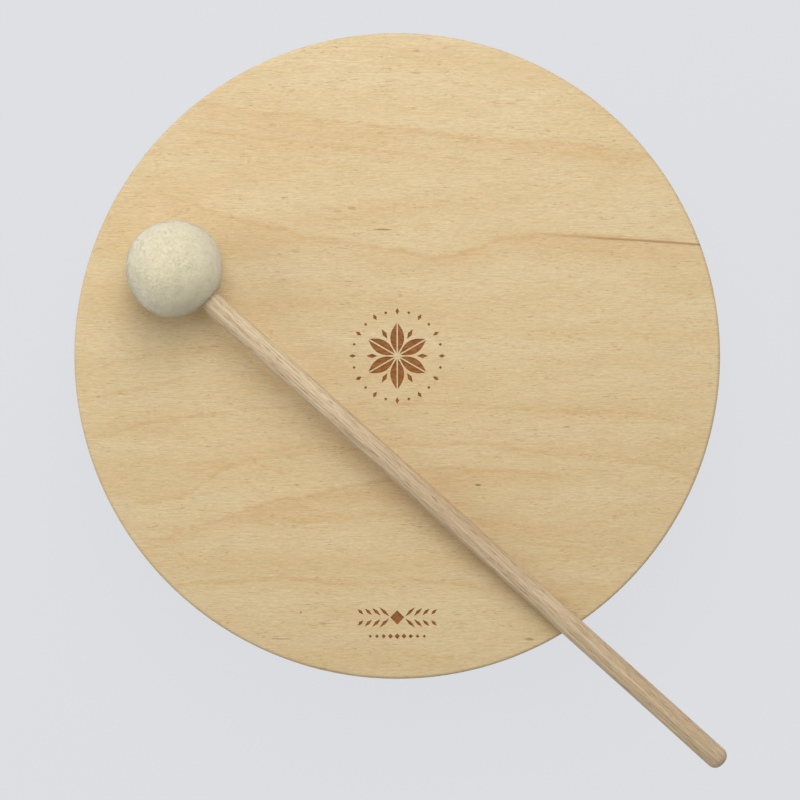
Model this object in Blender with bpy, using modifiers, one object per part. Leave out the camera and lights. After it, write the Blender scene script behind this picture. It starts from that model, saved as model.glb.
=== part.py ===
"""A wooden-headed frame drum, with its felt mallet lying across the head.

The head is a plywood disc of three birch veneers, glued on a hoop that is open at the back.
The hoop is laminated from bent beech plies. Each ply is one strip whose skived ends overlap
in a scarf joint, and the joints are staggered round the hoop. The mallet is a felt ball,
bored part of the way through for a turned beech shaft. It rests on the head with its ball,
and on the rim with its shaft.

Metres, +Z up. The drum stands on the open edge of its hoop at Z = 0, and the origin is the
middle of the base of the box round drum and mallet.
"""

import math

import bmesh
import bpy
from mathutils import Vector

# Drum
DRUM_DIAMETER = 0.220
HOOP_HEIGHT = 0.0519
HOOP_PLIES = 5
HOOP_PLY_THICKNESS = 0.0012
FACE_VENEER_THICKNESS = 0.0009
CORE_VENEER_THICKNESS = 0.0010
BACK_VENEER_THICKNESS = 0.0009
GLUE_LINE = 0.0001
RIM_ROUND = 0.0012
FOOT_ROUND = 0.0008

# Scarf joints of the hoop
SCARF_LENGTH = 0.020
FIRST_SCARF_ANGLE = math.radians(205.0)
SCARF_STAGGER = math.radians(144.0)

# Mallet
BALL_DIAMETER = 0.0325
BALL_SEAT_DEPTH = 0.0238
SHAFT_DIAMETER = 0.0076
SHAFT_LENGTH = 0.258
SHAFT_SEAT_CLEARANCE = 0.0002
SHAFT_BUTT_ROUND = 0.0030
SHAFT_SEAT_CHAMFER = 0.0006

# Where the mallet lies, from the drum's axis
BALL_X = -0.07465
BALL_Y = 0.02896
SHAFT_HEADING = math.radians(-42.09)
RESTING_CLEARANCE = 0.0003

# Facets
DRUM_FACETS = 96
MALLET_FACETS = 36
ROUNDING_FACETS = 4
BALL_ARC_FACETS = 18
SCARF_FACETS = 6

# Places that follow from the sizes
drum_radius = DRUM_DIAMETER / 2
ply_pitch = HOOP_PLY_THICKNESS + GLUE_LINE
back_veneer_base = HOOP_HEIGHT + GLUE_LINE
core_veneer_base = back_veneer_base + BACK_VENEER_THICKNESS + GLUE_LINE
face_veneer_base = core_veneer_base + CORE_VENEER_THICKNESS + GLUE_LINE
head_top = face_veneer_base + FACE_VENEER_THICKNESS
foot_round = min(FOOT_ROUND, 0.8 * HOOP_PLY_THICKNESS)
ball_radius = BALL_DIAMETER / 2
shaft_radius = SHAFT_DIAMETER / 2
butt_round = min(SHAFT_BUTT_ROUND, 0.9 * shaft_radius)
seat_end = ball_radius - BALL_SEAT_DEPTH
butt_end = seat_end + SHAFT_SEAT_CLEARANCE + SHAFT_LENGTH


def clear_scene():
    for thing in list(bpy.data.objects):
        bpy.data.objects.remove(thing, do_unlink=True)


def new_collection(name):
    made = bpy.data.collections.new(name)
    bpy.context.scene.collection.children.link(made)
    return made


def linear(channel):
    """One sRGB channel, 0 to 255, as the linear value that shaders take."""
    share = channel / 255
    if share <= 0.04045:
        return share / 12.92
    return ((share + 0.055) / 1.055) ** 2.4


def new_material(name, red, green, blue, roughness):
    made = bpy.data.materials.new(name)
    made.use_nodes = True
    colour = (linear(red), linear(green), linear(blue), 1.0)
    shader = made.node_tree.nodes["Principled BSDF"]
    shader.inputs["Base Color"].default_value = colour
    shader.inputs["Roughness"].default_value = roughness
    shader.inputs["Metallic"].default_value = 0.0
    made.diffuse_color = colour
    return made


def new_empty(name, collection, parent=None):
    made = bpy.data.objects.new(name, None)
    made.empty_display_size = 0.02
    made.parent = parent
    collection.objects.link(made)
    return made


def quarter_round(centre_r, centre_z, radius, from_angle):
    """Points of a quarter circle that turns clockwise in the R-Z half plane."""
    points = []
    for step in range(ROUNDING_FACETS + 1):
        angle = from_angle - step / ROUNDING_FACETS * math.pi / 2
        point = (centre_r + radius * math.cos(angle), centre_z + radius * math.sin(angle))
        points.append(point)
    return points


def turned_piece(name, profile, closed, facets, material, collection, parent):
    """A profile of (radius, height) points, turned round the piece's own Z axis."""
    mesh = bpy.data.meshes.new(name)
    shape = bmesh.new()
    corners = [shape.verts.new((radius, 0.0, height)) for radius, height in profile]
    for first, second in zip(corners, corners[1:]):
        shape.edges.new((first, second))
    if closed:
        shape.edges.new((corners[-1], corners[0]))
    shape.to_mesh(mesh)
    shape.free()
    mesh.materials.append(material)

    piece = bpy.data.objects.new(name, mesh)
    piece.parent = parent
    collection.objects.link(piece)

    turn = piece.modifiers.new("turn", "SCREW")
    turn.axis = "Z"
    turn.angle = math.tau
    turn.steps = facets
    turn.render_steps = facets
    turn.use_smooth_shade = True
    turn.use_merge_vertices = True
    turn.merge_threshold = 0.00001
    return piece


def rim_radius(height):
    """How far out the head reaches at a height, with its upper edge rounded over."""
    below_round = head_top - RIM_ROUND
    if height <= below_round:
        return drum_radius
    rise = min(height - below_round, RIM_ROUND)
    return drum_radius - RIM_ROUND + math.sqrt(RIM_ROUND**2 - rise**2)


def veneer_profile(base, thickness):
    """The half section of one veneer of the head, whose edge follows the rounded rim."""
    top = base + thickness
    round_start = head_top - RIM_ROUND
    heights = [top]
    for step in range(1, ROUNDING_FACETS + 1):
        rise = RIM_ROUND * math.cos(step / ROUNDING_FACETS * math.pi / 2)
        height = round_start + rise
        if base < height < top:
            heights.append(height)
    heights.append(base)
    edge = [(rim_radius(height), height) for height in heights]
    return [(0.0, top)] + edge + [(0.0, base)]


def build_head(collection, parent, birch_face, birch_core):
    veneers = (
        ("head_face_veneer", face_veneer_base, FACE_VENEER_THICKNESS, birch_face),
        ("head_core_veneer", core_veneer_base, CORE_VENEER_THICKNESS, birch_core),
        ("head_back_veneer", back_veneer_base, BACK_VENEER_THICKNESS, birch_face),
    )
    for name, base, thickness, material in veneers:
        profile = veneer_profile(base, thickness)
        turned_piece(name, profile, False, DRUM_FACETS, material, collection, parent)


def ply_profile(index, inner, outer):
    """The section of one ply. The first ply is rounded outside at its foot, the last inside."""
    section = [(inner, HOOP_HEIGHT), (outer, HOOP_HEIGHT)]
    if index == 0:
        section += quarter_round(outer - foot_round, foot_round, foot_round, 0.0)
    else:
        section.append((outer, 0.0))
    if index == HOOP_PLIES - 1:
        section += quarter_round(inner + foot_round, foot_round, foot_round, -math.pi / 2)
    else:
        section.append((inner, 0.0))
    return section


def scarf_cutter(name, angle, inner, outer, collection, parent):
    """The glue film of a scarf joint: a thin sheet that spirals out through the whole ply."""
    overshoot = (outer - inner) / 2
    sweep = SCARF_LENGTH / outer
    from_turn = -overshoot / (outer - inner)
    to_turn = 1 + overshoot / (outer - inner)

    mesh = bpy.data.meshes.new(name)
    sheet = bmesh.new()
    columns = []
    for step in range(SCARF_FACETS + 1):
        share = from_turn + step / SCARF_FACETS * (to_turn - from_turn)
        radius = inner + share * (outer - inner)
        turn = angle + share * sweep
        x = radius * math.cos(turn)
        y = radius * math.sin(turn)
        foot = sheet.verts.new((x, y, -overshoot))
        head = sheet.verts.new((x, y, HOOP_HEIGHT + overshoot))
        columns.append((foot, head))
    for (foot, head), (next_foot, next_head) in zip(columns, columns[1:]):
        sheet.faces.new((foot, next_foot, next_head, head))
    sheet.to_mesh(mesh)
    sheet.free()

    cutter = bpy.data.objects.new(name, mesh)
    cutter.parent = parent
    cutter.hide_render = True
    cutter.display_type = "WIRE"
    collection.objects.link(cutter)
    film = cutter.modifiers.new("film", "SOLIDIFY")
    film.thickness = GLUE_LINE
    film.offset = 0.0
    return cutter


def build_hoop(collection, cutters, parent, beech):
    for index in range(HOOP_PLIES):
        outer = drum_radius - index * ply_pitch
        inner = outer - HOOP_PLY_THICKNESS
        name = f"hoop_ply_{index + 1}"
        profile = ply_profile(index, inner, outer)
        ply = turned_piece(name, profile, True, DRUM_FACETS, beech, collection, parent)

        angle = FIRST_SCARF_ANGLE + index * SCARF_STAGGER
        cutter = scarf_cutter(f"{name}_scarf", angle, inner, outer, cutters, parent)
        scarf = ply.modifiers.new("scarf", "BOOLEAN")
        scarf.operation = "DIFFERENCE"
        scarf.solver = "EXACT"
        scarf.object = cutter


def ball_profile():
    """The half section of the ball, from the blind end of its bore to its far pole."""
    bore_radius = shaft_radius + SHAFT_SEAT_CLEARANCE
    mouth_angle = math.acos(bore_radius / ball_radius)
    profile = [(0.0, seat_end), (bore_radius, seat_end)]
    for step in range(BALL_ARC_FACETS):
        angle = mouth_angle - step / BALL_ARC_FACETS * (mouth_angle + math.pi / 2)
        profile.append((ball_radius * math.cos(angle), ball_radius * math.sin(angle)))
    profile.append((0.0, -ball_radius))
    return profile


def shaft_profile():
    """The half section of the shaft, from its domed butt to the end glued in the ball."""
    tip_radius = shaft_radius - butt_round
    seated_tip = seat_end + SHAFT_SEAT_CLEARANCE
    profile = [(0.0, butt_end)]
    profile += quarter_round(tip_radius, butt_end - butt_round, butt_round, math.pi / 2)
    profile.append((shaft_radius, seated_tip + SHAFT_SEAT_CHAMFER))
    profile.append((shaft_radius - SHAFT_SEAT_CHAMFER, seated_tip))
    profile.append((0.0, seated_tip))
    return profile


def build_mallet(collection, parent, felt, beech):
    ball = ball_profile()
    turned_piece("mallet_ball", ball, False, MALLET_FACETS, felt, collection, parent)
    shaft = shaft_profile()
    turned_piece("mallet_shaft", shaft, False, MALLET_FACETS, beech, collection, parent)


def shaft_direction():
    """The way from the ball to the butt, tilted so that the shaft comes to rest on the rim."""
    across_x = math.cos(SHAFT_HEADING)
    across_y = math.sin(SHAFT_HEADING)
    flat_radius = drum_radius - RIM_ROUND
    along = BALL_X * across_x + BALL_Y * across_y
    aside = BALL_X * across_y - BALL_Y * across_x
    to_rim = -along + math.sqrt(flat_radius**2 - aside**2)
    ball_height = ball_radius + RESTING_CLEARANCE
    shaft_height = shaft_radius + RESTING_CLEARANCE
    reach = math.hypot(to_rim, ball_height)
    tilt = math.acos(shaft_height / reach) - math.atan2(to_rim, ball_height)
    level = math.cos(tilt)
    return Vector((across_x * level, across_y * level, -math.sin(tilt)))


def butt_reach(cosine):
    """How far the rounded butt reaches from the ball's centre, along a line at this cosine."""
    straight = butt_end - butt_round
    ring = (shaft_radius - butt_round) * math.sqrt(1 - cosine**2)
    return straight * cosine + ring + butt_round


def drum_place(direction):
    """Where the drum's axis stands, so that the whole box is centred on the origin."""
    lowest_x = min(-drum_radius, BALL_X - ball_radius)
    highest_x = max(drum_radius, BALL_X + butt_reach(direction.x))
    lowest_y = min(-drum_radius, BALL_Y - butt_reach(-direction.y))
    highest_y = max(drum_radius, BALL_Y + ball_radius)
    return Vector((-(lowest_x + highest_x) / 2, -(lowest_y + highest_y) / 2, 0.0))


def build():
    clear_scene()
    parts = new_collection("wooden_frame_drum")
    cutters = new_collection("cutters")

    birch_face = new_material("birch_face", 218, 193, 151, 0.55)
    birch_core = new_material("birch_core", 190, 158, 112, 0.65)
    beech_hoop = new_material("beech_hoop", 206, 170, 128, 0.55)
    beech_shaft = new_material("beech_shaft", 203, 176, 138, 0.50)
    wool_felt = new_material("wool_felt", 219, 208, 180, 0.95)

    direction = shaft_direction()
    drum = new_empty("drum", parts)
    drum.location = drum_place(direction)
    build_head(parts, drum, birch_face, birch_core)
    build_hoop(parts, cutters, drum, beech_hoop)

    mallet = new_empty("mallet", parts, drum)
    mallet.location = (BALL_X, BALL_Y, head_top + RESTING_CLEARANCE + ball_radius)
    mallet.rotation_mode = "QUATERNION"
    mallet.rotation_quaternion = direction.to_track_quat("Z", "Y")
    build_mallet(parts, mallet, wool_felt, beech_shaft)


build()
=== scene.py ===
"""The looks of a wooden-headed frame drum with its felt mallet lying across the head."""

import math
import random

import bmesh
import bpy
import numpy as np
from mathutils import Matrix, Vector, noise


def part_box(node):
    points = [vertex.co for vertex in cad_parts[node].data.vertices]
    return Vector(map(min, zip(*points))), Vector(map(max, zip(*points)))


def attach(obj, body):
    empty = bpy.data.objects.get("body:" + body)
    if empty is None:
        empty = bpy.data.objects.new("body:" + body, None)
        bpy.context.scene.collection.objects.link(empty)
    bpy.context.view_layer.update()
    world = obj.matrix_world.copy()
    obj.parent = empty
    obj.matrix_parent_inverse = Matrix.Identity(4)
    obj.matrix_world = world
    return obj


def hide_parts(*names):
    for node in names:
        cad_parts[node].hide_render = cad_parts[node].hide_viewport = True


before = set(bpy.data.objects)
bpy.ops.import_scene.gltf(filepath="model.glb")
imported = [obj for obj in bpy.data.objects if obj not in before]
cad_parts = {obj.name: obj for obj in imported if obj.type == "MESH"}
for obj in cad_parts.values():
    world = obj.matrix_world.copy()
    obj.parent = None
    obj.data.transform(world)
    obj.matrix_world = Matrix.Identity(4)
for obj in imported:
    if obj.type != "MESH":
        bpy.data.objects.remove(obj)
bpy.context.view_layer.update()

MM = 0.001

# Picture: its width, its scale at the head and the drum's axis in it, in pixels, and the camera's
# height above the head
PIXELS_ACROSS = 800
PIXELS_PER_MM = 2.938
DRUM_AXIS_PIXEL = (397.25, 355.95)
CAMERA_HEIGHT = 1.0
SENSOR_WIDTH = 0.036

# Background: its colour, how much of it the camera sees in the floor whatever light falls there,
# and how far the floor reaches each way
BACKGROUND = (222, 224, 228)
FLOOR_EVENNESS = 0.93
FLOOR_REACH = 12.0

# Light: bearing and height in degrees as seen from the head, distance, width, and the share of a
# plain level of light that each lamp adds on the head. With the sky, the shares come to about 1.
LAMPS = {
    "over": {"bearing": 90, "height": 66, "distance": 0.80, "width": 0.58, "share": 0.45},
    "top": {"bearing": 84, "height": 40, "distance": 0.90, "width": 0.50, "share": 0.14},
    "window": {"bearing": 172, "height": 28, "distance": 1.20, "width": 0.90, "share": 0.11},
}
SKY_SHARE = 0.34

# Sizes that the solids have too, and that the frame's boxes don't show
GLUE_LINE = 0.0001
HOOP_PLIES = 5
SCARF_LENGTH = 0.020
FIRST_SCARF_ANGLE = math.radians(205.0)
SCARF_STAGGER = math.radians(144.0)
RIM_ROUND = 0.0012
FOOT_ROUND = 0.0008

# Places read from the frame
hoop_low, hoop_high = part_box("hoop_ply_1")
drum_axis = Vector(((hoop_low.x + hoop_high.x) / 2, (hoop_low.y + hoop_high.y) / 2, 0.0))
drum_radius = (hoop_high.x - hoop_low.x) / 2
hoop_height = hoop_high.z
ply_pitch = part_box("hoop_ply_2")[0].x - hoop_low.x
ply_thickness = ply_pitch - GLUE_LINE
head_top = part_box("head_face_veneer")[1].z


def linear(channel):
    """One sRGB channel, 0 to 255, as a linear value."""
    share = channel / 255
    if share <= 0.04045:
        return share / 12.92
    return ((share + 0.055) / 1.055) ** 2.4


def colour(red, green, blue):
    return (linear(red), linear(green), linear(blue), 1.0)


class Shader:
    """A material's node tree, written as nested calls.

    A value may be a number, a colour or the output of a node.
    """

    def __init__(self, name):
        self.material = bpy.data.materials.new(name)
        self.material.use_nodes = True
        self.tree = self.material.node_tree
        self.surface = self.tree.nodes["Principled BSDF"]

    def feed(self, socket, value):
        if isinstance(value, bpy.types.NodeSocket):
            self.tree.links.new(value, socket)
        elif value is not None:
            socket.default_value = value

    def node(self, kind, inputs=(), **settings):
        made = self.tree.nodes.new(kind)
        for name, value in settings.items():
            setattr(made, name, value)
        for key, value in dict(inputs).items():
            self.feed(made.inputs[key], value)
        return made

    def math(self, operation, first, second=None, third=None, clamp=False):
        values = {0: first, 1: second, 2: third}
        made = self.node("ShaderNodeMath", values, operation=operation, use_clamp=clamp)
        return made.outputs[0]

    def add(self, first, *others):
        total = first
        for other in others:
            total = self.math("ADD", total, other)
        return total

    def subtract(self, first, second):
        return self.math("SUBTRACT", first, second)

    def multiply(self, first, *others):
        total = first
        for other in others:
            total = self.math("MULTIPLY", total, other)
        return total

    def divide(self, first, second):
        return self.math("DIVIDE", first, second)

    def swing(self, value, size):
        """A noise value, made to swing about zero."""
        return self.multiply(self.subtract(value, 0.5), size)

    def ramped(self, value, low, high, to_low=0.0, to_high=1.0, smooth=True):
        """The value's place between low and high, clamped, and eased at both ends if smooth."""
        inputs = {
            "Value": value,
            "From Min": low,
            "From Max": high,
            "To Min": to_low,
            "To Max": to_high,
        }
        kind = "SMOOTHSTEP" if smooth else "LINEAR"
        made = self.node("ShaderNodeMapRange", inputs, interpolation_type=kind)
        return made.outputs["Result"]

    def vector(self, x, y, z=0.0):
        return self.node("ShaderNodeCombineXYZ", {0: x, 1: y, 2: z}).outputs[0]

    def parts(self, vector):
        return self.node("ShaderNodeSeparateXYZ", {0: vector}).outputs

    def noise(self, vector, scale=1.0, detail=2.0, roughness=0.5, distortion=0.0):
        inputs = {
            "Vector": vector,
            "Scale": scale,
            "Detail": detail,
            "Roughness": roughness,
            "Distortion": distortion,
        }
        return self.node("ShaderNodeTexNoise", inputs).outputs["Fac"]

    def streaks(self, along, across, length, width, seed=0.0, detail=2.0, roughness=0.5):
        """Noise drawn out along the grain. Length and width are those of its features."""
        place = self.vector(self.divide(along, length), self.divide(across, width), seed)
        return self.noise(place, 1.0, detail, roughness)

    def mixed(self, share, first, second, blend="MIX"):
        made = self.node("ShaderNodeMix", data_type="RGBA", blend_type=blend)
        self.feed(made.inputs[0], share)
        self.feed(made.inputs[6], first)
        self.feed(made.inputs[7], second)
        return made.outputs[2]

    def stained(self, base, tint, value, low, high, most=1.0):
        """The base with a tint over it: none where the value is low, the most where it is high."""
        return self.mixed(self.ramped(value, low, high, 0.0, most), base, colour(*tint))

    def toned(self, base, amount):
        """The base with its brightness multiplied by one plus the amount."""
        grey = self.math("ADD", amount, 1.0)
        return self.mixed(1.0, base, self.vector(grey, grey, grey), "MULTIPLY")

    def curve(self, value, points):
        """A smooth curve through the points, whose coordinates run from 0 to 1."""
        made = self.node("ShaderNodeFloatCurve", {"Value": value})
        shape = made.mapping.curves[0]
        shape.points[0].location = points[0]
        shape.points[1].location = points[-1]
        for x, y in points[1:-1]:
            shape.points.new(x, y)
        made.mapping.extend = "HORIZONTAL"
        made.mapping.update()
        return made.outputs[0]

    def bump(self, height, distance, strength):
        inputs = {"Height": height, "Distance": distance, "Strength": strength}
        return self.node("ShaderNodeBump", inputs).outputs["Normal"]

    def in_millimetres(self, vector):
        sized = self.node("ShaderNodeVectorMath", {0: vector}, operation="SCALE")
        sized.inputs["Scale"].default_value = 1 / MM
        return sized.outputs[0]

    def place(self, origin, axes=None):
        """The point shaded, from the origin, in millimetres along the axes, as three outputs."""
        point = self.node("ShaderNodeTexCoord").outputs["Object"]
        inputs = {0: point, 1: tuple(origin)}
        moved = self.node("ShaderNodeVectorMath", inputs, operation="SUBTRACT")
        sized = self.in_millimetres(moved.outputs[0])
        if axes is None:
            return self.parts(sized)
        along = []
        for axis in axes:
            inputs = {0: sized, 1: tuple(axis)}
            made = self.node("ShaderNodeVectorMath", inputs, operation="DOT_PRODUCT")
            along.append(made.outputs["Value"])
        return along

    def finish(self, base, roughness, normal=None, specular=0.35):
        self.feed(self.surface.inputs["Base Color"], base)
        self.feed(self.surface.inputs["Roughness"], roughness)
        self.feed(self.surface.inputs["Normal"], normal)
        self.surface.inputs["Specular IOR Level"].default_value = specular
        return self.material


# Relief of sanded wood, in metres, for bump
FINE_RELIEF = 0.00004
COARSE_RELIEF = 0.00005

# The figure of the head's face veneer: growth lines that run across it, as points in millimetres
# from the drum's axis, with how strong and wide each line is, how strong the darker band beside
# it is, and how far that band reaches: below the line, or above it if minus.
GROWTH_LINES = (
    {
        "points": (
            (-68, 87), (-57, 84.4), (-46, 82.3), (-33, 82), (-23, 80.3), (-6, 78.6), (11, 76.6),
            (28, 73.8), (45, 72.8), (62, 71.8), (76, 70.1), (87, 68),
        ),
        "line": 0.55, "width": 1.3, "band": 0.42, "reach": 17,
    },
    {
        "points": (
            (-76, 78), (-67, 76.6), (-57, 75.9), (-47, 74.2), (-33, 72.8), (-16, 71), (1, 69),
            (28, 67),
        ),
        "line": 0.55, "width": 0.9, "band": 0.15, "reach": 6,
    },
    {
        "points": (
            (-79, 54.8), (-67, 51), (-58.6, 47.6), (-50, 45.9), (-40, 43.6), (-30, 40.5),
            (-19.5, 39), (-9, 37.1), (1, 36), (11, 34), (21, 34.4), (27.5, 36.8), (35, 40.2),
            (45, 41.3), (55, 41.2), (69, 40.1), (86, 39.1), (104, 37.8),
        ),
        "line": 0.85, "width": 1.3, "band": 0.42, "reach": 16,
    },
    {
        "points": ((-108, -8), (-101, -3.8), (-94, -1.4), (-86, -0.3)),
        "line": 0.6, "width": 1.1, "band": 0.1, "reach": 5,
    },
    {
        "points": (
            (-109, -15.4), (-101, -13.6), (-94, -12.3), (-84, -10.6), (-74, -8.2), (-66, -5.4),
        ),
        "line": 0.75, "width": 0.9, "band": 0.1, "reach": 4,
    },
    {
        "points": (
            (-106, -27.6), (-98, -27.2), (-91, -24.5), (-84, -22.5), (-74, -21.1), (-64, -20.1),
            (-53, -18.7), (-43, -17.7), (-33, -16.7), (-16, -16.7), (1, -16.4), (25, -16.4),
            (35, -17.4), (52, -18.7), (69, -19.1), (83, -19.8), (93, -22.1), (106, -25.4),
        ),
        "line": 0.75, "width": 0.9, "band": 0.12, "reach": -7,
    },
    {
        "points": (
            (-90, -50.6), (-79, -49), (-70.5, -46.3), (-65.4, -43.4), (-60.3, -39.4),
            (-53.5, -36.4), (-46.7, -34.4), (-36, -33.4), (-16, -32.7), (-1, -31), (11, -30.7),
            (25, -29.5), (35, -30.7), (49, -32.7), (62, -34.1), (76, -35.4), (89, -37.5),
            (102, -41.5),
        ),
        "line": 0.55, "width": 1.3, "band": 0.42, "reach": -15,
    },
    {
        "points": (
            (-90, -63.4), (-79, -61.6), (-74, -59.6), (-67, -57.2), (-60, -55.2), (-53.5, -53),
            (-43, -49.7), (-33, -48.4), (-26, -46.6), (-18, -44.6), (-9, -43), (1, -40.8),
            (8, -39.2), (28, -38.8), (42, -39.2), (56, -41),
        ),
        "line": 0.6, "width": 1.4, "band": 0.5, "reach": 9,
    },
    {
        "points": (
            (-52, -57.5), (-33, -56.5), (-16, -55.8), (1, -54.3), (21, -55.4), (35, -59.8),
            (45, -63.6), (55, -65), (69, -66.4), (86, -69.4),
        ),
        "line": 0.3, "width": 1.5, "band": 0.5, "reach": -14,
    },
    {
        "points": (
            (-77, -78.8), (-67, -76.8), (-57, -76.3), (-36, -76.3), (-23, -76.9), (-9, -76.9),
            (1, -76.3), (15, -77.3), (30, -79.4),
        ),
        "line": 0.75, "width": 1.2, "band": 0.08, "reach": -6,
    },
    {
        "points": ((48, -80.6), (55, -83), (66, -85.8)),
        "line": 0.8, "width": 1.2, "band": 0.1, "reach": 4,
    },
)
DARK_LINE = GROWTH_LINES[2]
FIGURE_SPAN = 110.0

# Flecks and mineral marks of the face veneer: place and half size, in millimetres, and depth
MARKS = (
    (-5.2, 42.9, 3.6, 0.36, 0.65),
    (-15.4, 50.3, 1.7, 0.8, 0.30),
    (-20.3, 49.3, 1.5, 0.7, 0.22),
    (-38.0, 54.0, 1.3, 0.7, 0.18),
    (37.7, 67.0, 2.2, 0.28, 0.30),
    (6.4, 103.7, 2.0, 0.5, 0.22),
    (6.4, 96.3, 2.0, 0.4, 0.25),
    (27.5, -43.9, 1.3, 0.45, 0.70),
    (45.0, -96.4, 1.8, 0.5, 0.50),
    (-39.5, -96.2, 4.0, 0.3, 0.35),
    (-32.8, -87.2, 0.35, 0.35, 0.80),
    (-25.3, -91.0, 1.7, 0.5, 0.30),
    (57.6, -24.2, 1.3, 0.5, 0.35),
)


def line_height(shader, along, points):
    """How far up the head a growth line is, on a smooth curve through its points."""
    share = shader.ramped(along, -FIGURE_SPAN, FIGURE_SPAN, smooth=False)
    scaled = []
    for x, y in points:
        scaled.append(((x + FIGURE_SPAN) / FIGURE_SPAN / 2, (y + FIGURE_SPAN) / FIGURE_SPAN / 2))
    curve = shader.curve(share, scaled)
    return shader.ramped(curve, 0.0, 1.0, -FIGURE_SPAN, FIGURE_SPAN, smooth=False)


def growth_amount(shader, along, across, growth):
    """How dark one growth line and the band beside it make a point of the veneer."""
    points = growth["points"]
    offset = shader.subtract(across, line_height(shader, along, points))
    line = shader.ramped(shader.math("ABSOLUTE", offset), 0.0, growth["width"], 1.0, 0.0)
    depth = shader.divide(offset, -growth["reach"])
    fade = shader.ramped(depth, 0.0, 1.0, 1.0, 0.0)
    side = shader.ramped(depth, -0.05, 0.05)
    band = shader.multiply(fade, side, growth["band"])
    total = shader.math("MULTIPLY_ADD", line, growth["line"], band)
    fading_in = shader.ramped(along, points[0][0] - 4, points[0][0] + 6)
    fading_out = shader.ramped(along, points[-1][0] - 8, points[-1][0] + 4, 1.0, 0.0)
    return shader.multiply(total, fading_in, fading_out)


def figure_amount(shader, along, across, ripple):
    """All the growth lines together, wavy, frayed and uneven."""
    drift = shader.streaks(along, across, 30.0, 12.0)
    fray = shader.streaks(along, across, 5.0, 0.6, 27.0, detail=3.0)
    uneven = shader.streaks(along, across, 16.0, 5.0, 9.0, detail=3.0)
    waved = shader.add(
        across,
        shader.swing(drift, 3.0),
        shader.swing(ripple, 2.6),
        shader.swing(fray, 3.4),
    )
    figure = 0.0
    for growth in GROWTH_LINES:
        figure = shader.add(growth_amount(shader, along, waved, growth), figure)
    figure = shader.multiply(figure, shader.ramped(uneven, 0.25, 0.75, 0.45, 1.3, smooth=False))
    return shader.multiply(figure, shader.ramped(fray, 0.3, 0.7, 0.6, 1.35, smooth=False))


def dark_line_amount(shader, along, across):
    """The thin sharp line that the strongest growth line turns into at its right end."""
    strength = shader.ramped(along, 40.0, 82.0, 0.0, 0.62)
    height = line_height(shader, along, DARK_LINE["points"])
    offset = shader.math("ABSOLUTE", shader.subtract(across, height))
    return shader.multiply(strength, shader.ramped(offset, 0.12, 0.62, 1.0, 0.0))


def marks_amount(shader, along, across):
    """Oval spots with soft edges."""
    total = 0.0
    for x, y, half_length, half_width, depth in MARKS:
        run = shader.divide(shader.subtract(along, x), half_length)
        rise = shader.divide(shader.subtract(across, y), half_width)
        squared = shader.add(shader.multiply(run, run), shader.multiply(rise, rise))
        total = shader.math("MAXIMUM", shader.ramped(squared, 0.15, 1.2, depth, 0.0), total)
    return total


def wood_grain(shader, along, across, seed):
    """Fibres of a sliced wood: a centred brightness, short dark pores, and a height for bump."""
    def layer(length, width, shift, detail):
        return shader.streaks(along, across, length, width, seed + shift, detail, 0.55)

    long_fibres = shader.subtract(layer(11.0, 0.62, 0.0, 3.0), 0.5)
    short_fibres = shader.subtract(layer(3.2, 0.34, 7.3, 2.0), 0.5)
    hairs = shader.subtract(layer(1.5, 0.24, 13.1, 1.0), 0.5)
    crowding = shader.ramped(layer(9.0, 3.0, 29.3, 2.0), 0.42, 0.66, 0.15, 1.0)
    pores = shader.multiply(shader.ramped(layer(2.2, 0.28, 21.7, 1.0), 0.60, 0.74), crowding)
    tone = shader.add(
        shader.multiply(long_fibres, 0.20),
        shader.multiply(short_fibres, 0.34),
        shader.multiply(hairs, 0.30),
    )
    height = shader.subtract(shader.add(short_fibres, shader.multiply(hairs, 0.6)), pores)
    return tone, pores, height


def birch_face_material():
    """The face veneer: clouds, blushes, growth lines, grain, pores, the dark line and marks."""
    shader = Shader("birch_face")
    along, across, _ = shader.place(drum_axis)
    cloud = shader.streaks(along, across, 60.0, 11.0, 5.0, detail=3.0)
    blush = shader.streaks(along, across, 9.0, 1.6, 15.0, detail=3.0)
    warmth = shader.streaks(along, across, 6.0, 0.55, 61.0)
    ripple = shader.streaks(along, across, 7.0, 2.2, 3.0, detail=3.0)
    figure = figure_amount(shader, along, across, ripple)
    tone, pores, height = wood_grain(shader, along, across, 31.0)

    base = shader.stained(colour(221, 199, 156), (209, 174, 116), cloud, 0.3, 0.75, 0.42)
    base = shader.stained(base, (216, 180, 136), blush, 0.52, 0.78, 0.45)
    figure_share = shader.math("MULTIPLY", figure, 0.45, clamp=True)
    base = shader.mixed(figure_share, base, colour(204, 160, 102))
    base = shader.toned(base, tone)
    base = shader.stained(base, (210, 166, 112), warmth, 0.50, 0.72, 0.34)
    base = shader.mixed(shader.multiply(pores, 0.6), base, colour(170, 112, 62))
    base = shader.mixed(dark_line_amount(shader, along, across), base, colour(150, 104, 50))
    ragged = shader.add(across, shader.swing(ripple, 0.9))
    base = shader.mixed(marks_amount(shader, along, ragged), base, colour(134, 88, 44))

    roughness = shader.ramped(tone, -0.08, 0.08, 0.56, 0.46)
    normal = shader.bump(height, FINE_RELIEF, 0.5)
    return shader.finish(base, roughness, normal, specular=0.3)


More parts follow.
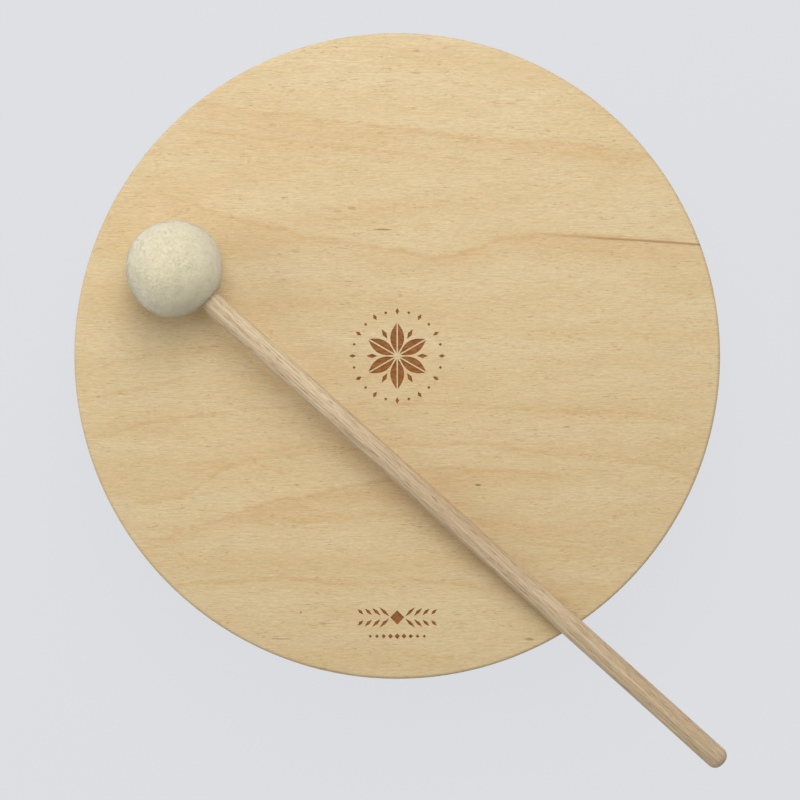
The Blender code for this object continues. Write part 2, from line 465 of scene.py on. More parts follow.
def burnt_material():
    """The floor of the engraving, burnt brown in close passes that run along the grain."""
    shader = Shader("burnt_engraving")
    along, across, _ = shader.place(drum_axis)
    tone, pores, height = wood_grain(shader, along, across, 57.0)
    passes = shader.math("SINE", shader.multiply(across, 38.0))
    patch = shader.streaks(along, across, 2.5, 1.4, detail=3.0)
    base = shader.stained(colour(142, 88, 44), (166, 110, 62), patch, 0.3, 0.7)
    base = shader.toned(base, shader.add(shader.multiply(tone, 2.2), shader.multiply(passes, 0.05)))
    base = shader.mixed(shader.multiply(pores, 0.5), base, colour(92, 52, 24))
    relief = shader.add(height, shader.multiply(passes, 0.3))
    return shader.finish(base, 0.75, shader.bump(relief, COARSE_RELIEF, 0.7), specular=0.15)


def core_edge_material():
    """The core veneer's cut edge. Its grain runs in Y, so its pores are end on front and back."""
    shader = Shader("birch_core_edge")
    x, y, z = shader.place(drum_axis)
    from_axis = shader.math("SQRT", shader.add(shader.multiply(x, x), shader.multiply(y, y)))
    end_on = shader.divide(shader.math("ABSOLUTE", y), shader.math("MAXIMUM", from_axis, 0.001))
    dots = shader.noise(shader.vector(x, y, z), 6.0)
    line_place = shader.vector(
        shader.multiply(x, 0.3), shader.multiply(y, 0.3), shader.multiply(z, 5.0)
    )
    lines = shader.noise(line_place, detail=3.0)
    base = shader.mixed(
        shader.ramped(end_on, 0.1, 0.95, 0.1, 0.85), colour(205, 172, 124), colour(152, 112, 68)
    )
    tone = shader.add(
        shader.swing(dots, shader.ramped(end_on, 0.2, 0.9, 0.1, 0.7)), shader.swing(lines, 0.35)
    )
    base = shader.toned(base, tone)
    return shader.finish(base, 0.6, shader.bump(dots, COARSE_RELIEF, 0.4), specular=0.2)


def birch_back_material():
    """The back of the head, sanded but not finished."""
    shader = Shader("birch_back")
    along, across, _ = shader.place(drum_axis)
    warp = shader.streaks(along, across, 45.0, 16.0, 40.0)
    waved = shader.add(across, shader.swing(warp, 12.0))
    rings = shader.streaks(along, waved, 150.0, 7.0, 44.0, detail=4.0)
    tone, pores, height = wood_grain(shader, along, waved, 71.0)
    base = shader.stained(colour(224, 202, 162), (203, 164, 110), rings, 0.35, 0.7, 0.8)
    base = shader.toned(base, shader.multiply(tone, 1.2))
    base = shader.mixed(shader.multiply(pores, 0.4), base, colour(150, 106, 64))
    return shader.finish(base, 0.7, shader.bump(height, COARSE_RELIEF, 0.7), specular=0.2)


def bent_ply_material(index):
    """Beech that runs round the hoop. The grain map holds the arc length and the height."""
    shader = Shader(f"bent_beech_{index + 1}")
    grain = shader.node("ShaderNodeUVMap", uv_map="grain").outputs[0]
    along, across, _ = shader.parts(shader.in_millimetres(grain))
    seed = 100.0 + 17.0 * index
    warp = shader.streaks(along, across, 120.0, 24.0, seed)
    waved = shader.add(across, shader.swing(warp, 16.0))
    rings = shader.streaks(along, waved, 260.0, 4.5, seed + 3.0, detail=4.0)
    rays = shader.streaks(along, waved, 1.7, 0.34, seed + 5.0, detail=0.0)
    tone, pores, height = wood_grain(shader, along, waved, seed + 9.0)
    base = shader.stained(colour(219, 186, 147), (194, 152, 110), rings, 0.32, 0.7)
    base = shader.toned(base, shader.multiply(tone, 1.2))
    base = shader.stained(base, (150, 102, 66), rays, 0.66, 0.78, 0.55)
    base = shader.mixed(shader.multiply(pores, 0.25), base, colour(140, 96, 60))
    return shader.finish(base, 0.46, shader.bump(height, FINE_RELIEF, 0.5))


def glue_material():
    shader = Shader("dried_glue")
    x, y, z = shader.place(drum_axis)
    spots = shader.noise(shader.vector(x, y, z), 0.6, 3.0)
    base = shader.stained(colour(120, 84, 48), (158, 120, 76), spots, 0.3, 0.7)
    return shader.finish(base, 0.35, specular=0.4)


def shaft_material(matrix):
    """Beech along the mallet's own Z axis, sawn from a plank, so its rings run as long stripes."""
    shader = Shader("beech_shaft")
    x, y, along = shader.place(matrix.translation, matrix.to_3x3().col)

    def layer(fineness, length, detail, roughness=0.5):
        place = shader.vector(
            shader.multiply(x, fineness), shader.multiply(y, fineness), shader.divide(along, length)
        )
        return shader.noise(place, 1.0, detail, roughness)

    bend = shader.noise(shader.vector(shader.divide(along, 70.0), 0.0, 2.0))
    ring_place = shader.add(
        shader.multiply(x, 0.62), shader.multiply(y, 0.78), shader.swing(bend, 3.5)
    )
    rings = shader.noise(
        shader.vector(shader.divide(along, 90.0), shader.multiply(ring_place, 0.75), 6.0),
        detail=3.0,
    )
    fibres = layer(2.4, 18.0, 3.0, 0.6)
    fine = layer(6.5, 3.0, 2.0)
    flecks = layer(5.6, 4.4, 0.5)
    base = shader.stained(colour(226, 205, 170), (206, 180, 144), rings, 0.35, 0.66)
    base = shader.stained(base, (190, 164, 132), fibres, 0.42, 0.66, 0.7)
    base = shader.toned(base, shader.add(shader.swing(fibres, -0.40), shader.swing(fine, 0.40)))
    base = shader.stained(base, (146, 108, 76), flecks, 0.64, 0.70, 0.8)
    normal = shader.bump(shader.add(fine, fibres), FINE_RELIEF, 0.6)
    return shader.finish(base, 0.5, normal, specular=0.3)


def felt_material(matrix):
    """Undyed wool felt with a few dark motes."""
    shader = Shader("wool_felt")
    x, y, z = shader.place(matrix.translation)
    point = shader.vector(x, y, z)
    mottle = shader.noise(point, 0.55, 4.0, 0.62)
    flock = shader.noise(point, 1.9, 3.0, 0.62)
    strands = shader.noise(point, 5.0, 2.0, 0.6, 0.6)
    motes = shader.noise(point, 1.9, 0.0)
    base = shader.stained(colour(234, 223, 187), (241, 231, 198), mottle, 0.3, 0.7)
    base = shader.toned(base, shader.swing(flock, 0.22))
    base = shader.toned(base, shader.swing(strands, 0.20))
    base = shader.stained(base, (120, 108, 78), motes, 0.80, 0.84, 0.6)
    height = shader.add(shader.multiply(flock, 0.7), shader.multiply(strands, 0.5))
    shader.finish(base, 0.95, shader.bump(height, 0.0004, 0.9), specular=0.05)
    shader.surface.inputs["Sheen Weight"].default_value = 0.9
    shader.surface.inputs["Sheen Roughness"].default_value = 0.6
    shader.surface.inputs["Sheen Tint"].default_value = colour(240, 240, 235)
    return shader.material


def fibre_material():
    shader = Shader("wool_fibre")
    shader.finish(colour(232, 224, 200), 0.8, specular=0.1)
    shader.surface.inputs["Sheen Weight"].default_value = 0.2
    return shader.material


def new_object(name, data):
    made = bpy.data.objects.new(name, data)
    bpy.context.scene.collection.objects.link(made)
    return made


def new_piece(name, mesh, material, body, sharp=30.0):
    """A visible piece. Without a material, its mesh keeps those that it has."""
    if material is not None:
        mesh.materials.clear()
        mesh.materials.append(material)
    mesh.shade_smooth()
    mesh.set_sharp_from_angle(angle=math.radians(sharp))
    piece = new_object(name, mesh)
    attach(piece, body)
    return piece


def turned_mesh(name, profile, segments, centre=(0.0, 0.0), closed=False):
    """A profile of (radius, height), top to bottom, turned round a vertical axis."""
    mesh = bpy.data.meshes.new(name)
    shape = bmesh.new()
    rings = []
    for radius, height in profile:
        if radius < 1e-7:
            rings.append([shape.verts.new((centre[0], centre[1], height))])
            continue
        ring = []
        for step in range(segments):
            angle = step / segments * math.tau
            x = centre[0] + radius * math.cos(angle)
            y = centre[1] + radius * math.sin(angle)
            ring.append(shape.verts.new((x, y, height)))
        rings.append(ring)
    pairs = list(zip(rings, rings[1:]))
    if closed:
        pairs.append((rings[-1], rings[0]))
    for upper, lower in pairs:
        for step in range(segments):
            after = (step + 1) % segments
            if len(upper) == 1:
                shape.faces.new((upper[0], lower[step], lower[after]))
            elif len(lower) == 1:
                shape.faces.new((upper[after], upper[step], lower[0]))
            else:
                shape.faces.new((upper[after], upper[step], lower[step], lower[after]))
    if not closed and len(rings[0]) > 1:
        shape.faces.new(rings[0])
    if not closed and len(rings[-1]) > 1:
        shape.faces.new(rings[-1][::-1])
    shape.to_mesh(mesh)
    shape.free()
    return mesh


def quarter_round(centre_r, centre_z, radius, from_angle, steps):
    """Points of a quarter circle that turns clockwise in the R-Z half plane."""
    points = []
    for step in range(steps + 1):
        angle = from_angle - step / steps * math.pi / 2
        points.append((centre_r + radius * math.cos(angle), centre_z + radius * math.sin(angle)))
    return points


def ring_profile(inner, outer, low, high):
    return [(inner, high), (outer, high), (outer, low), (inner, low)]


def carved(name, mesh, cutter_mesh):
    """The mesh with the cutter's shape taken out, and the cutter's material where it cut."""
    blank = new_object("blank", mesh)
    cutter = new_object("cutter", cutter_mesh)
    cut = blank.modifiers.new("cut", "BOOLEAN")
    cut.operation = "DIFFERENCE"
    cut.solver = "EXACT"
    cut.material_mode = "TRANSFER"
    cut.object = cutter
    graph = bpy.context.evaluated_depsgraph_get()
    result = bpy.data.meshes.new_from_object(blank.evaluated_get(graph))
    result.name = name
    bpy.data.objects.remove(blank)
    bpy.data.objects.remove(cutter)
    return result


# Fineness of the drum's meshes
DRUM_SEGMENTS = 288
RIM_STEPS = 10


def rim_radius(height):
    """How far the head's edge is from the axis, at a height on the rounded rim or below it."""
    below_round = head_top - RIM_ROUND
    if height <= below_round:
        return drum_radius
    rise = min(height - below_round, RIM_ROUND)
    return drum_radius - RIM_ROUND + math.sqrt(RIM_ROUND**2 - rise**2)


def veneer_mesh(name, node):
    """A round veneer between its node's lowest and highest point, with its edge on the rim."""
    low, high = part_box(node)
    heights = {high.z, low.z}
    for step in range(RIM_STEPS + 1):
        height = head_top - RIM_ROUND + RIM_ROUND * math.cos(step / RIM_STEPS * math.pi / 2)
        if low.z < height < high.z:
            heights.add(height)
    edge = [(rim_radius(height), height) for height in sorted(heights, reverse=True)]
    return turned_mesh(name, edge, DRUM_SEGMENTS, drum_axis)


# Ornament burnt into the head, in millimetres: a six-petal rosette on the drum's axis, a ring of
# lozenges round it, and a row of leaves and lozenges near the rim
ENGRAVING_DEPTH = 0.25 * MM
PETALS = 6
PETAL_STEPS = 14
PETAL_START = 1.1
PETAL_END = 11.2
PETAL_HALF_WIDTH = 2.35
PETAL_FULLNESS = 0.8
RIB_HALF_WIDTH = 0.24
LEAST_CUT = 0.02
BETWEEN_REACH = 8.6
BETWEEN_HALF_SIZE = (1.9, 0.75)
BEADS = 24
BEAD_CIRCLE = 15.2
BEAD_HALF_SIZES = ((1.15, 0.62), (0.55, 0.55))
ROW_HEIGHT = -89.0
ROW_LOZENGE = 2.4
LEAF_PAIRS = 4
LEAF_START = 4.4
LEAF_PITCH = 2.7
LEAF_RISE = 1.9
LEAF_HALF_LENGTH = 2.3
LEAF_SHRINK = 0.32
LEAF_HALF_WIDTH = 0.55
LEAF_SLANT = 0.75
DOTS_EACH_SIDE = 4
DOT_PITCH = 2.3
DOT_DROP = 6.4
DOT_HALF_SIZE = 0.95
DOT_SHRINK = 0.1


def turned_outline(outline, angle, x=0.0, y=0.0):
    """An outline turned about its own origin, which is then moved to x, y."""
    cosine = math.cos(angle)
    sine = math.sin(angle)
    return [(x + a * cosine - b * sine, y + a * sine + b * cosine) for a, b in outline]


def petal_halves(angle):
    """The two halves of a petal, either side of a rib that is left standing."""
    halves = []
    for side in (1, -1):
        outline = []
        for step in range(PETAL_STEPS + 1):
            share = step / PETAL_STEPS
            reach = PETAL_START + share * (PETAL_END - PETAL_START)
            width = PETAL_HALF_WIDTH * math.sin(math.pi * share) ** PETAL_FULLNESS
            outline.append((reach, side * max(width, RIB_HALF_WIDTH + LEAST_CUT)))
        outline.append((PETAL_END, side * RIB_HALF_WIDTH))
        outline.append((PETAL_START, side * RIB_HALF_WIDTH))
        halves.append(turned_outline(outline, angle))
    return halves


def lozenge(x, y, half_length, half_width, angle=0.0):
    corners = ((half_length, 0.0), (0.0, half_width), (-half_length, 0.0), (0.0, -half_width))
    return turned_outline(corners, angle, x, y)


def rosette_outlines():
    outlines = []
    for petal in range(PETALS):
        angle = math.pi / 2 + petal / PETALS * math.tau
        outlines += petal_halves(angle)
        between = angle + math.pi / PETALS
        x = BETWEEN_REACH * math.cos(between)
        y = BETWEEN_REACH * math.sin(between)
        outlines.append(lozenge(x, y, *BETWEEN_HALF_SIZE, between))
    for bead in range(BEADS):
        angle = bead / BEADS * math.tau
        x = BEAD_CIRCLE * math.cos(angle)
        y = BEAD_CIRCLE * math.sin(angle)
        outlines.append(lozenge(x, y, *BEAD_HALF_SIZES[bead % 2], angle))
    return outlines


def row_outlines():
    outlines = [lozenge(0.0, ROW_HEIGHT, ROW_LOZENGE, ROW_LOZENGE)]
    for side in (1, -1):
        for step in range(LEAF_PAIRS):
            x = side * (LEAF_START + LEAF_PITCH * step)
            length = LEAF_HALF_LENGTH - LEAF_SHRINK * step
            for up in (1, -1):
                y = ROW_HEIGHT + up * LEAF_RISE
                outlines.append(lozenge(x, y, length, LEAF_HALF_WIDTH, up * side * LEAF_SLANT))
    for step in range(-DOTS_EACH_SIDE, DOTS_EACH_SIDE + 1):
        size = DOT_HALF_SIZE - DOT_SHRINK * abs(step)
        outlines.append(lozenge(DOT_PITCH * step, ROW_HEIGHT - DOT_DROP, size, size))
    return outlines


def ornament_cutter():
    """A closed prism for each outline, from the engraving's floor to as far above the head."""
    mesh = bpy.data.meshes.new("ornament_cutter")
    shape = bmesh.new()
    for outline in rosette_outlines() + row_outlines():
        area = sum(a[0] * b[1] - b[0] * a[1] for a, b in zip(outline, outline[1:] + outline[:1]))
        points = outline if area > 0 else outline[::-1]
        lower = []
        upper = []
        for x, y in points:
            place = (drum_axis.x + x * MM, drum_axis.y + y * MM)
            lower.append(shape.verts.new((*place, head_top - ENGRAVING_DEPTH)))
            upper.append(shape.verts.new((*place, head_top + ENGRAVING_DEPTH)))
        shape.faces.new(lower[::-1])
        shape.faces.new(upper)
        for step in range(len(points)):
            after = (step + 1) % len(points)
            shape.faces.new((lower[step], lower[after], upper[after], upper[step]))
    shape.to_mesh(mesh)
    shape.free()
    return mesh


def build_head():
    blank = veneer_mesh("head_blank", "head_face_veneer")
    blank.materials.append(birch_face_material())
    cutter = ornament_cutter()
    cutter.materials.append(burnt_material())
    mesh = carved("head_face", blank, cutter)
    face = new_piece("head_face", mesh, None, "drum")
    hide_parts("head_face_veneer")

    mesh = veneer_mesh("head_core", "head_core_veneer")
    core = new_piece("head_core", mesh, core_edge_material(), "drum")
    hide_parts("head_core_veneer")

    mesh = veneer_mesh("head_back", "head_back_veneer")
    back = new_piece("head_back", mesh, birch_back_material(), "drum")
    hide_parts("head_back_veneer")


# Hoop's plies: the arris that sanding leaves, the most of a tapering wall that an arris or a
# rounded foot takes, and the steps of each and of a skived end
PLY_ARRIS = 0.12 * MM
ARRIS_SHARE = 0.3
ARRIS_STEPS = 2
FOOT_SHARE = 0.6
FOOT_STEPS = 5
SCARF_STEPS = 10

# How far the glue under the head stays behind its rim
GLUE_SETBACK = 0.08 * MM


def ply_section(near, far, foot_outside, foot_inside):
    """The outline of a ply between two radii, clockwise from its inner top edge."""
    wall = far - near
    arris = min(PLY_ARRIS, ARRIS_SHARE * wall)
    outer_foot = min(foot_outside, FOOT_SHARE * wall) or arris
    inner_foot = min(foot_inside, FOOT_SHARE * wall) or arris
    top = hoop_height - arris
    outline = quarter_round(near + arris, top, arris, math.pi, ARRIS_STEPS)
    outline += quarter_round(far - arris, top, arris, math.pi / 2, ARRIS_STEPS)
    outline += quarter_round(far - outer_foot, outer_foot, outer_foot, 0.0, FOOT_STEPS)
    outline += quarter_round(near + inner_foot, inner_foot, inner_foot, -math.pi / 2, FOOT_STEPS)
    return outline


def ply_stations(inner, outer):
    """Where the sections of a ply are: how far round, and between which two radii.

    Its skived ends lie over each other, the first inside the last, with a glue line between.
    """
    thickness = outer - inner
    sweep = SCARF_LENGTH / outer
    film = GLUE_LINE / 2
    stations = []
    for step in range(1, SCARF_STEPS):
        share = step / SCARF_STEPS
        stations.append((share * sweep, inner, inner + share * thickness - film))
    for step in range(DRUM_SEGMENTS + 1):
        share = step / DRUM_SEGMENTS
        stations.append((sweep + share * (math.tau - sweep), inner, outer))
    for step in range(1, SCARF_STEPS):
        share = step / SCARF_STEPS
        stations.append((math.tau + share * sweep, inner + share * thickness + film, outer))
    return stations


def bent_ply_mesh(name, inner, outer, scarf_angle, foot_outside, foot_inside):
    """A strip bent into a ring, whose skived ends lie over each other in a scarf joint."""
    mesh = bpy.data.meshes.new(name)
    shape = bmesh.new()
    grain = shape.loops.layers.uv.new("grain")

    def add_face(corners):
        face = shape.faces.new([vertex for vertex, _ in corners])
        for loop, (_, place) in zip(face.loops, corners):
            loop[grain].uv = place

    sections = []
    for turn, near, far in ply_stations(inner, outer):
        angle = scarf_angle + turn
        section = []
        for radius, height in ply_section(near, far, foot_outside, foot_inside):
            x = drum_axis.x + radius * math.cos(angle)
            y = drum_axis.y + radius * math.sin(angle)
            grain_place = (turn * outer, height + (far - radius))
            section.append((shape.verts.new((x, y, height)), grain_place))
        sections.append(section)
    count = len(sections[0])
    for first, second in zip(sections, sections[1:]):
        for step in range(count):
            after = (step + 1) % count
            add_face((first[after], first[step], second[step], second[after]))
    add_face(sections[0])
    add_face(sections[-1][::-1])
    bmesh.ops.recalc_face_normals(shape, faces=shape.faces)
    shape.to_mesh(mesh)
    shape.free()
    return mesh


def build_hoop(glue):
    """Five plies, one inside the other, with a film of glue between each two."""
    for index in range(HOOP_PLIES):
        outer = drum_radius - index * ply_pitch
        inner = outer - ply_thickness
        angle = FIRST_SCARF_ANGLE + index * SCARF_STAGGER
        last = index == HOOP_PLIES - 1
        foot_outside = FOOT_ROUND if index == 0 else 0.0
        foot_inside = FOOT_ROUND if last else 0.0
        name = f"bent_ply_{index + 1}"
        mesh = bent_ply_mesh(name, inner, outer, angle, foot_outside, foot_inside)
        ply = new_piece(name, mesh, bent_ply_material(index), "drum", sharp=50.0)
        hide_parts(f"hoop_ply_{index + 1}")
        if not last:
            name = f"glue_film_{index + 1}"
            profile = ring_profile(inner - GLUE_LINE, inner, PLY_ARRIS, hoop_height)
            film = turned_mesh(name, profile, DRUM_SEGMENTS, drum_axis, closed=True)
            new_piece(name, film, glue, "drum")


def build_head_glue(glue):
    """The glue on the hoop's top and between the head's veneers, a thin line at the rim."""
    inner_wall = drum_radius - HOOP_PLIES * ply_pitch + GLUE_LINE
    back_low, back_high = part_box("head_back_veneer")
    core_low, core_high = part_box("head_core_veneer")
    face_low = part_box("head_face_veneer")[0]
    seats = (
        ("glue_under_head", hoop_height, back_low.z, inner_wall),
        ("glue_back_core", back_high.z, core_low.z, 0.0),
        ("glue_core_face", core_high.z, face_low.z, 0.0),
    )
    for name, low, high, inner in seats:
        reach = rim_radius(high) - GLUE_SETBACK
        ring = inner > 0
        profile = ring_profile(inner, reach, low, high) if ring else [(reach, high), (reach, low)]
        mesh = turned_mesh(name, profile, DRUM_SEGMENTS, drum_axis, closed=ring)
        new_piece(name, mesh, glue, "drum")


# Shaft: its rounded butt, the chamfer at its other end, the fineness of its mesh, how often and
# how far, in millimetres, its surface swings, and the share of the radius inside which it doesn't
BUTT_ROUND = 3.0 * MM
BUTT_STEPS = 8
SEAT_CHAMFER = 0.6 * MM
SHAFT_SEGMENTS = 72
SHAFT_RINGS = 90
WAVES_ACROSS = 260
WAVES_ALONG = 30
WAVE_HEIGHT = 0.035
EVEN_CORE = 0.5


def shaft_frame():
    """The mallet's axis, ends and radius as the frame has them.

    The axis is a matrix whose origin is the ball's centre and whose Z runs to the shaft's butt.
    """
    corners = [tuple(vertex.co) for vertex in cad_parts["mallet_shaft"].data.vertices]
    vertices = np.unique(np.array(corners), axis=0)
    low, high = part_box("mallet_ball")
    ball = (low + high) / 2
    middle = vertices.mean(axis=0)
    along = np.linalg.svd(vertices - middle)[2][0]
    if along @ (middle - np.array(ball)) < 0:
        along = -along
    reach = (vertices - middle) @ along
    aside = vertices - middle - np.outer(reach, along)
    direction = Vector(along)
    origin = Vector(middle) + direction * ((ball - Vector(middle)) @ direction)
    turn = direction.to_track_quat("Z", "Y").to_matrix().to_4x4()
    matrix = Matrix.Translation(origin) @ turn
    offset = (Vector(middle) - origin) @ direction
    radius = float(np.linalg.norm(aside, axis=1).max())
    return matrix, reach.min() + offset, reach.max() + offset, radius


def build_shaft(matrix, seat_end, butt_end, radius):
    """A turned rod with a rounded butt, not quite even, as sanding leaves it."""
    flank_end = butt_end - BUTT_ROUND
    butt = quarter_round(radius - BUTT_ROUND, flank_end, BUTT_ROUND, math.pi / 2, BUTT_STEPS)
    profile = [(0.0, butt_end)] + butt[1:]
    length = flank_end - seat_end - SEAT_CHAMFER
    for step in range(1, SHAFT_RINGS):
        profile.append((radius, flank_end - step / SHAFT_RINGS * length))
    profile.append((radius, seat_end + SEAT_CHAMFER))
    profile.append((radius - SEAT_CHAMFER, seat_end))
    profile.append((0.0, seat_end))
    mesh = turned_mesh("mallet_shaft_turned", profile, SHAFT_SEGMENTS)
    for vertex in mesh.vertices:
        point = vertex.co
        reach = math.hypot(point.x, point.y)
        if reach > EVEN_CORE * radius:
            wave = (point.x * WAVES_ACROSS, point.y * WAVES_ACROSS, point.z * WAVES_ALONG)
            uneven = noise.noise(Vector(wave)) * WAVE_HEIGHT * MM
            point.x += point.x / reach * uneven
            point.y += point.y / reach * uneven
    mesh.transform(matrix)
    material = shaft_material(matrix)
    shaft = new_piece("mallet_shaft_turned", mesh, material, "mallet")
    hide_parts("mallet_shaft")


# Felt: how far its surface is inside the ball's box on the whole, how deep and wide it is drawn
# in round the shaft, the play of its bore, and its swellings, from broad to fine: how close
# together, how high in millimetres, and where their noise starts
FELT_INSET = 0.15 * MM
DRAWN_IN = 0.9 * MM
BORE_PLAY = 0.05 * MM
FELT_SUBDIVISIONS = 7
SWELLINGS = (
    (1.3, 0.45, Vector((4.1, 2.2, 8.4))),
    (4.5, 0.16, Vector((1.7, 6.2, 3.4))),
    (17.0, 0.05, Vector()),
    (44.0, 0.06, Vector()),
)

# Loose fibres: how many, the least and most of their length and half thickness in millimetres,
# and of their lift and bend as shares of the length, how deep their roots are in the felt, and
# how far they stay off the shaft
FIBRES = 14000
FIBRE_SEED = 7
FIBRE_LENGTH = (0.5, 1.7)
FIBRE_HALF_THICKNESS = (0.022, 0.042)
FIBRE_LIFT = (0.05, 0.5)
FIBRE_BEND = (-0.35, 0.35)
FIBRE_ROOT = 0.06 * MM
FIBRE_CLEARANCE = 0.6 * MM
FIBRE_SIDES = 3
# At its middle, a fibre has this share of its length, of its lift and of its thickness
MIDDLE_REACH = 0.5
MIDDLE_LIFT = 0.75
MIDDLE_THICKNESS = 0.8


def felt_radius(direction, radius):
    """How far the felt's surface is from the ball's centre, in one direction."""
    for fineness, height, start in SWELLINGS:
        radius += noise.noise(direction * fineness + start) * height * MM
    return radius


def build_ball(matrix, shaft_radius, seat_end):
    """The felt ball, bored for its shaft. Its radius before the swellings is handed back."""
    low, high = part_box("mallet_ball")
    radius = (high.z - low.z) / 2 - FELT_INSET
    mesh = bpy.data.meshes.new("felt_blank")
    shape = bmesh.new()
    bmesh.ops.create_icosphere(shape, subdivisions=FELT_SUBDIVISIONS, radius=1.0)
    for vertex in shape.verts:
        direction = vertex.co.normalized()
        point = direction * felt_radius(direction, radius)
        if direction.z > 0:
            beyond = max(math.hypot(point.x, point.y) - shaft_radius, 0.0)
            point.z -= DRAWN_IN * math.exp(-beyond / DRAWN_IN)
        vertex.co = point
    shape.to_mesh(mesh)
    shape.free()
    bore_radius = shaft_radius + BORE_PLAY
    bore_profile = [(bore_radius, 2 * radius), (bore_radius, seat_end)]
    bored = carved("felt_ball", mesh, turned_mesh("bore", bore_profile, SHAFT_SEGMENTS))
    bored.transform(matrix)
    material = felt_material(matrix)
    ball = new_piece("felt_ball", bored, material, "mallet", sharp=60.0)
    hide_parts("mallet_ball")
    return radius


def fibre_points(draw, direction, radius):
    """One bent fibre: a ring of points at its root, one at its middle, and its tip."""
    side = direction.orthogonal().normalized()
    side.rotate(Matrix.Rotation(draw.uniform(0, math.tau), 3, direction))
    across = direction.cross(side)
    length = draw.uniform(*FIBRE_LENGTH) * MM
    lift = draw.uniform(*FIBRE_LIFT) * length
    bend = draw.uniform(*FIBRE_BEND) * length
    width = draw.uniform(*FIBRE_HALF_THICKNESS) * MM
    root = direction * (felt_radius(direction, radius) - FIBRE_ROOT)
    middle = root + side * (MIDDLE_REACH * length) + across * bend
    middle += direction * (MIDDLE_LIFT * lift)
    points = []
    for centre, share in ((root, 1.0), (middle, MIDDLE_THICKNESS)):
        for corner in range(FIBRE_SIDES):
            angle = corner / FIBRE_SIDES * math.tau
            outward = across * math.cos(angle) + direction * math.sin(angle)
            points.append(centre + outward * width * share)
    points.append(root + side * length + direction * lift)
    return points


def build_fuzz(matrix, radius, shaft_radius):
    """Loose wool fibres that lie on the felt and stand a little off it."""
    draw = random.Random(FIBRE_SEED)
    vertices = []
    faces = []
    for _ in range(FIBRES):
        z = draw.uniform(-1, 1)
        turn = draw.uniform(0, math.tau)
        flat = math.sqrt(1 - z * z)
        direction = Vector((flat * math.cos(turn), flat * math.sin(turn), z))
        from_axis = math.hypot(direction.x, direction.y) * radius
        if direction.z > 0 and from_axis < shaft_radius + FIBRE_CLEARANCE:
            continue
        root = len(vertices)
        middle = root + FIBRE_SIDES
        tip = middle + FIBRE_SIDES
        vertices += fibre_points(draw, direction, radius)
        for corner in range(FIBRE_SIDES):
            after = (corner + 1) % FIBRE_SIDES
            faces.append((root + corner, root + after, middle + after, middle + corner))
            faces.append((middle + corner, middle + after, tip))
        faces.append(tuple(reversed(range(root, middle))))
    mesh = bpy.data.meshes.new("felt_fuzz")
    mesh.from_pydata(vertices, [], faces)
    mesh.transform(matrix)
    new_piece("felt_fuzz", mesh, fibre_material(), "mallet", sharp=180.0)


def build_floor():
    """A pale floor that the camera sees nearly even, with a trace of the object's shadow."""
    mesh = bpy.data.meshes.new("floor")
    shape = bmesh.new()
    bmesh.ops.create_grid(shape, x_segments=1, y_segments=1, size=FLOOR_REACH)
    shape.to_mesh(mesh)
    shape.free()
    shader = Shader("pale_floor")
    shader.finish(colour(*BACKGROUND), 0.9, specular=0.0)
    path = shader.node("ShaderNodeLightPath")
    seen = shader.math("MAXIMUM", path.outputs["Is Camera Ray"], path.outputs["Is Glossy Ray"])
    seen = shader.math("MAXIMUM", seen, path.outputs["Is Transmission Ray"])
    glow = shader.node("ShaderNodeEmission", {"Color": colour(*BACKGROUND), "Strength": 1.0})
    blend = shader.node("ShaderNodeMixShader", {0: shader.multiply(seen, FLOOR_EVENNESS)})
    shader.feed(blend.inputs[1], shader.surface.outputs[0])
    shader.feed(blend.inputs[2], glow.outputs[0])
    shader.feed(shader.tree.nodes["Material Output"].inputs["Surface"], blend.outputs[0])
    mesh.materials.append(shader.material)
    new_object("floor", mesh)


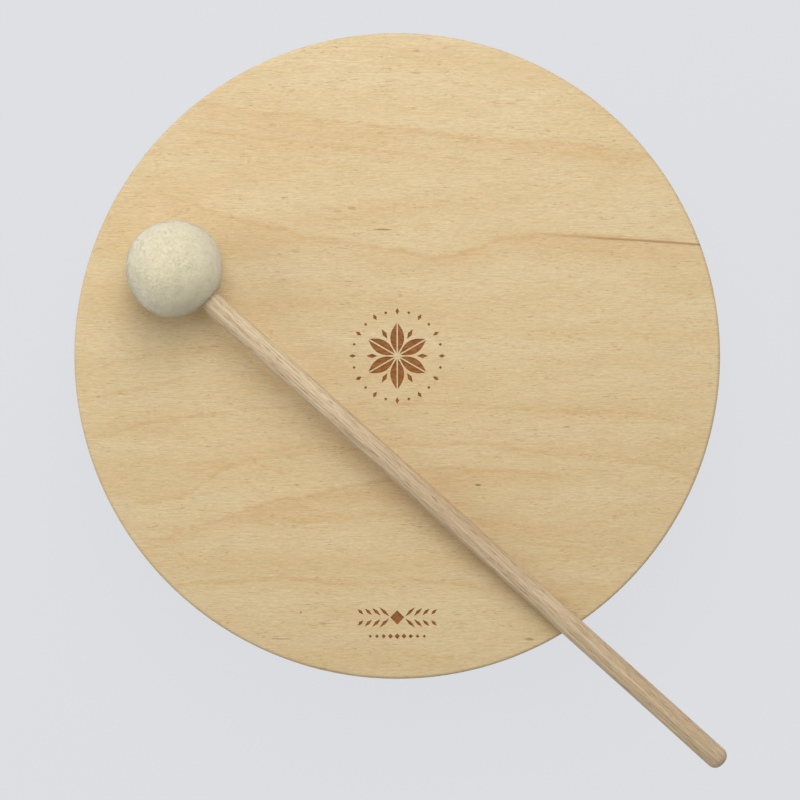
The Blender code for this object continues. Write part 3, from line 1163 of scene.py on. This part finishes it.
def build_world():
    """A sky that lights by its share, and that the camera sees in the background's colour."""
    world = bpy.data.worlds.new("studio")
    bpy.context.scene.world = world
    world.use_nodes = True
    nodes = world.node_tree.nodes
    links = world.node_tree.links
    lit = nodes["Background"]
    lit.inputs["Color"].default_value = (1.0, 1.0, 1.0, 1.0)
    lit.inputs["Strength"].default_value = SKY_SHARE
    seen = nodes.new("ShaderNodeBackground")
    seen.inputs["Color"].default_value = colour(*BACKGROUND)
    seen.inputs["Strength"].default_value = 1.0
    path = nodes.new("ShaderNodeLightPath")
    blend = nodes.new("ShaderNodeMixShader")
    links.new(path.outputs["Is Camera Ray"], blend.inputs[0])
    links.new(lit.outputs[0], blend.inputs[1])
    links.new(seen.outputs[0], blend.inputs[2])
    links.new(blend.outputs[0], nodes["World Output"].inputs["Surface"])


def build_lights():
    """Round softboxes that face the middle of the head.

    A lamp of this energy lights a level white surface there by its share of full white.
    """
    target = drum_axis + Vector((0.0, 0.0, head_top))
    for name, place in LAMPS.items():
        bearing = math.radians(place["bearing"])
        height = math.radians(place["height"])
        flat = math.cos(height)
        way = Vector((flat * math.cos(bearing), flat * math.sin(bearing), math.sin(height)))
        lamp = bpy.data.lights.new(name, "AREA")
        lamp.shape = "DISK"
        lamp.size = place["width"]
        lamp.energy = place["share"] * math.pi**2 * place["distance"] ** 2 / math.sin(height)
        softbox = new_object(name, lamp)
        softbox.location = target + way * place["distance"]
        softbox.rotation_mode = "QUATERNION"
        softbox.rotation_quaternion = (-way).to_track_quat("-Z", "Y")


def build_camera():
    """Straight above the head, with the lens that gives the head the picture's scale."""
    lens = bpy.data.cameras.new("camera")
    width_seen = PIXELS_ACROSS / PIXELS_PER_MM * MM
    lens.sensor_width = SENSOR_WIDTH / MM
    lens.lens = SENSOR_WIDTH / MM * CAMERA_HEIGHT / width_seen
    lens.clip_start = 0.05
    lens.clip_end = 50.0
    camera = new_object("camera", lens)
    middle = PIXELS_ACROSS / 2
    x = drum_axis.x + (middle - DRUM_AXIS_PIXEL[0]) / PIXELS_PER_MM * MM
    y = drum_axis.y - (middle - DRUM_AXIS_PIXEL[1]) / PIXELS_PER_MM * MM
    camera.location = (x, y, head_top + CAMERA_HEIGHT)
    bpy.context.scene.camera = camera


build_camera()
build_world()
build_lights()
build_floor()
build_head()
dried_glue = glue_material()
build_hoop(dried_glue)
build_head_glue(dried_glue)
mallet_matrix, seat_end, butt_end, shaft_radius = shaft_frame()
build_shaft(mallet_matrix, seat_end, butt_end, shaft_radius)
ball_radius = build_ball(mallet_matrix, shaft_radius, seat_end)
build_fuzz(mallet_matrix, ball_radius, shaft_radius)

bpy.context.scene.view_settings.view_transform = "Standard"
